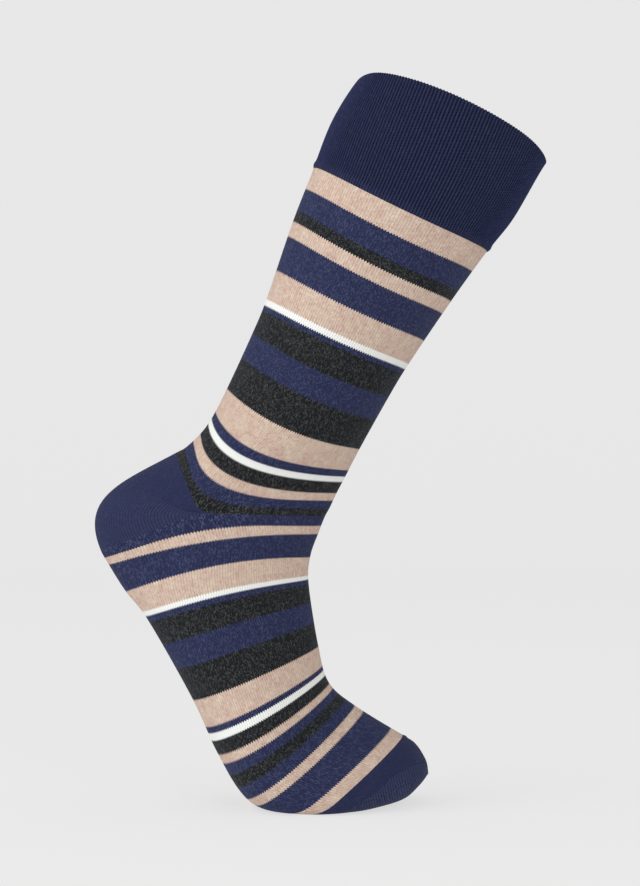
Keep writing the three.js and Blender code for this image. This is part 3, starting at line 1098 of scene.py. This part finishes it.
# %% Navy knits
# Painted shade in the gaps, as a share of the yarn's colour: the rib's furrows are painted fully dark
RIB_GAP_SHADE = 0.0
FURROW_BETWEEN_GAPS = 0.4
POCKET_GAP_SHADE = 0.74
POCKET_PULLED_GAP_SHADE = 0.3
# Painted highlight on the crests of pulled pocket stitches, mixed towards the pale thread, and how
# narrowly it keeps to the crests
PULLED_CREST_HIGHLIGHT = 0.3
CREST_HIGHLIGHT_SHARPNESS = 3
NAVY_GLINT = 0.06


def furrows_with_gaps(tree, wale, course):
    """Height of the rib. Each furrow has a row of small gaps, half a course off its neighbours' ones."""
    across = node(tree, "ShaderNodeMath", {0: wale, 1: math.pi}, operation="MULTIPLY")
    swell = node(tree, "ShaderNodeMath", {0: across}, operation="SINE")
    rib = node(tree, "ShaderNodeMath", {0: swell}, operation="ABSOLUTE")
    furrow = node(tree, "ShaderNodeMath", {0: 1.0, 1: rib}, operation="SUBTRACT")
    furrow_number = node(tree, "ShaderNodeMath", {0: wale}, operation="ROUND")
    shifted = node(
        tree, "ShaderNodeMath", {0: furrow_number, 1: 0.5, 2: course}, operation="MULTIPLY_ADD"
    )
    along = node(tree, "ShaderNodeMath", {0: shifted, 1: 2 * math.pi}, operation="MULTIPLY")
    wave = node(tree, "ShaderNodeMath", {0: along}, operation="COSINE")
    swing = (1 - FURROW_BETWEEN_GAPS) / 2
    gaps = node(tree, "ShaderNodeMath", {0: wave, 1: swing, 2: 1 - swing}, operation="MULTIPLY_ADD")
    deep = node(tree, "ShaderNodeMath", {0: furrow, 1: gaps}, operation="MULTIPLY")
    return node(tree, "ShaderNodeMath", {0: FULL_HEIGHT, 1: deep}, operation="SUBTRACT").outputs[0]


def navy_knit(name, gap_shade, pulled_gap_shade, ribbed=False):
    """Plain navy cotton, with the given painted shade in its gaps and a painted highlight on the crests
    of pulled stitches.
    """
    material, tree = empty_material(name)
    wale, course, height = stitches(tree)
    if ribbed:
        height = furrows_with_gaps(tree, wale, course)
    _, chance = stitch_cells(tree, wale, course)
    colour = with_glints(tree, from_hex(YARN["navy"]), chance, NAVY_GLINT, GLINT["navy"])
    # Painted highlight: the crests of pulled stitches are lightened towards the pale thread colour, as if
    # they caught the light
    crest = node(tree, "ShaderNodeMath", {0: height, 1: CREST_HIGHLIGHT_SHARPNESS}, operation="POWER")
    open_crest = node(tree, "ShaderNodeMath", {0: crest, 1: pull_of(tree)}, operation="MULTIPLY")
    streak = node(tree, "ShaderNodeMath", {0: open_crest, 1: PULLED_CREST_HIGHLIGHT}, operation="MULTIPLY")
    crest_highlighted = node(
        tree,
        "ShaderNodeMix",
        {"Factor": streak, 6: colour, 7: from_hex(GLINT["navy"])},
        data_type="RGBA",
    )
    knitted_cotton(tree, crest_highlighted.outputs[2], height, gap_shade, pulled_gap_shade)
    return material


cuff.data.materials.append(navy_knit("cotton_rib_cuff", RIB_GAP_SHADE, RIB_GAP_SHADE, ribbed=True))
pocket_knit = navy_knit("cotton_pocket_knit", POCKET_GAP_SHADE, POCKET_PULLED_GAP_SHADE)
heel.data.materials.append(pocket_knit)
toe.data.materials.append(pocket_knit)
print("cuff, heel and toe are navy")

# %% [markdown]
# ## The pieces take their places
#
# Each shell takes the place of its solid, which is hidden, and rides on the one body. A knitted tube has
# no flat cut, so the flat size is the length round it, relaxed, times its length.

SHEETS = [
    (cuff, "cuff", "cuff_rib", (0.30, 0.068)),
    (leg, "leg", "striped_jersey", (0.24, 0.19)),
    (heel, "heel", "heel_jersey", (0.10, 0.065)),
    (foot, "foot", "striped_jersey", (0.24, 0.17)),
    (toe, "toe", "toe_jersey", (0.24, 0.05)),
]
for piece, solid, slot, flat in SHEETS:
    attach(piece, "root")
    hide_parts(solid)
    area = sum(face.area for face in piece.data.polygons) / 2
    print(piece.name, "cloth area", round(area, 4), "flat", round(flat[0] * flat[1], 4))
